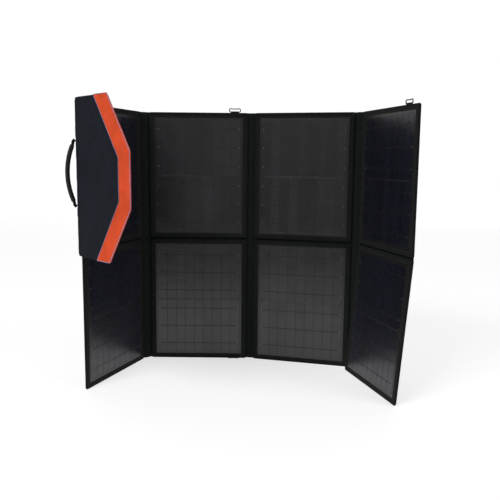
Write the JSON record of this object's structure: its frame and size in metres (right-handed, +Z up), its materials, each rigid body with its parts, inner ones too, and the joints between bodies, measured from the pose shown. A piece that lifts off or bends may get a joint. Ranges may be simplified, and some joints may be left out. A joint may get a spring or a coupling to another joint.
{
  "type": "folding solar panel kit",
  "caption": "Foldable solar blanket of framed panels in two rows with fabric hinges, a case spine with carry handle, a striped closing flap and wire hanging rings.",
  "frame": {"origin": "middle of the bottom edge of the lower panel in column 2, on the floor", "axes": "+Z up, -Y the sunny side that the user faces, +X to the right seen from the sunny side"},
  "size_m": [0.8089, 0.4779, 0.7128],
  "materials": {
    "panel_fabric": "black-green woven polyester, matt, bound and stitched edges",
    "rear_fabric": "black woven polyester, matt, coated on the inside",
    "laminate": "dark grey plastic-laminated sheet with a low gloss",
    "cells": "blue-black monocrystalline cells under film, fine collector lines",
    "board": "off-white stiffening board",
    "junction_box": "black sealed plastic box",
    "case_fabric": "navy heavy oxford weave, coated",
    "stripe_fabric": "orange woven tape with pale stitched edges",
    "webbing": "black woven webbing",
    "grip": "black padded tube, matt, fine grained",
    "ring_wire": "black coated steel wire"
  },
  "bodies": {
    "upper_1": {"upper_1_front_frame": "panel_fabric", "upper_1_laminate": "laminate", "upper_1_cells": "cells", "upper_1_board": "board", "upper_1_rear_cover": "rear_fabric", "upper_1_junction_box": "junction_box"},
    "upper_2": {"upper_2_front_frame": "panel_fabric", "upper_2_laminate": "laminate", "upper_2_cells": "cells", "upper_2_board": "board", "upper_2_rear_cover": "rear_fabric", "upper_2_junction_box": "junction_box", "upper_2_ring_tab": "webbing"},
    "upper_3": {"upper_3_front_frame": "panel_fabric", "upper_3_laminate": "laminate", "upper_3_cells": "cells", "upper_3_board": "board", "upper_3_rear_cover": "rear_fabric", "upper_3_junction_box": "junction_box"},
    "upper_4": {"upper_4_front_frame": "panel_fabric", "upper_4_laminate": "laminate", "upper_4_cells": "cells", "upper_4_board": "board", "upper_4_rear_cover": "rear_fabric", "upper_4_junction_box": "junction_box", "upper_4_ring_tab": "webbing"},
    "lower_1": {"lower_1_front_frame": "panel_fabric", "lower_1_laminate": "laminate", "lower_1_cells": "cells", "lower_1_board": "board", "lower_1_rear_cover": "rear_fabric", "lower_1_junction_box": "junction_box"},
    "lower_2": {"lower_2_front_frame": "panel_fabric", "lower_2_laminate": "laminate", "lower_2_cells": "cells", "lower_2_board": "board", "lower_2_rear_cover": "rear_fabric", "lower_2_junction_box": "junction_box", "lower_2_ring_tab": "webbing"},
    "lower_3": {"lower_3_front_frame": "panel_fabric", "lower_3_laminate": "laminate", "lower_3_cells": "cells", "lower_3_board": "board", "lower_3_rear_cover": "rear_fabric", "lower_3_junction_box": "junction_box"},
    "lower_4": {"lower_4_front_frame": "panel_fabric", "lower_4_laminate": "laminate", "lower_4_cells": "cells", "lower_4_board": "board", "lower_4_rear_cover": "rear_fabric", "lower_4_junction_box": "junction_box"},
    "spine": {"spine_cover": "case_fabric"},
    "flap": {"flap_cover": "case_fabric", "flap_board": "board", "flap_stripe": "stripe_fabric"},
    "handle": {"handle_strap": "webbing", "handle_grip": "grip"},
    "ring_upper_2": {"upper_2_ring": "ring_wire"},
    "ring_upper_4": {"upper_4_ring": "ring_wire"},
    "ring_lower_2": {"lower_2_ring": "ring_wire"}
  },
  "joints": [
    {"name": "fold_left", "type": "hinge", "parent": "upper_2", "child": "upper_1", "pos_m": [-0.1475, -0.0095, 0.35], "axis": [0, 0, 1], "range_deg": [-69, 50]},
    {"name": "fold_centre", "type": "hinge", "parent": "upper_2", "child": "upper_3", "pos_m": [0.1475, 0.003, 0.35], "axis": [0, 0, 1], "range_deg": [-15, 194.5]},
    {"name": "fold_right", "type": "hinge", "parent": "upper_3", "child": "upper_4", "pos_m": [0.42997, -0.08296, 0.35], "axis": [0, 0, -1], "range_deg": [-59, 54]},
    {"name": "row_fold_1", "type": "hinge", "parent": "upper_1", "child": "lower_1", "pos_m": [-0.20661, -0.1448, 0.35], "axis": [-0.3584, -0.9336, 0], "range_deg": [0, 179.4]},
    {"name": "row_fold_2", "type": "hinge", "parent": "upper_2", "child": "lower_2", "pos_m": [0, -0.0028, 0.35], "axis": [-1, 0, 0], "range_deg": [0, 178.4]},
    {"name": "row_fold_3", "type": "hinge", "parent": "upper_3", "child": "lower_3", "pos_m": [0.28885, -0.03955, 0.35], "axis": [-0.9681, 0.2504, 0], "range_deg": [0, 179.4]},
    {"name": "row_fold_4", "type": "hinge", "parent": "upper_4", "child": "lower_4", "pos_m": [0.47829, -0.22249, 0.35], "axis": [-0.284, 0.9588, 0], "range_deg": [-5, 174.4]},
    {"name": "spine_fold", "type": "hinge", "parent": "upper_1", "child": "spine", "pos_m": [-0.2603, -0.27683, 0.526], "axis": [0, 0, 1], "range_deg": [-30, 60]},
    {"name": "flap_fold", "type": "hinge", "parent": "spine", "child": "flap", "pos_m": [-0.25365, -0.31881, 0.526], "axis": [0, 0, 1], "range_deg": [-35.5, 54.5]},
    {"name": "handle_swing", "type": "hinge", "parent": "spine", "child": "handle", "pos_m": [-0.26195, -0.29836, 0.536], "axis": [0, 0, 1], "range_deg": [-50, 50]},
    {"name": "ring_upper_2_swing", "type": "hinge", "parent": "upper_2", "child": "ring_upper_2", "pos_m": [0.1005, 0, 0.7023], "axis": [-1, 0, 0], "range_deg": [-80, 80]},
    {"name": "ring_upper_4_swing", "type": "hinge", "parent": "upper_4", "child": "ring_upper_4", "pos_m": [0.50639, -0.30751, 0.7023], "axis": [-0.284, 0.9588, 0], "range_deg": [-80, 80]},
    {"name": "ring_lower_2_swing", "type": "hinge", "parent": "lower_2", "child": "ring_lower_2", "pos_m": [0.1005, 0, 0.0023], "axis": [1, 0, 0], "range_deg": [0, 100]}
  ]
}
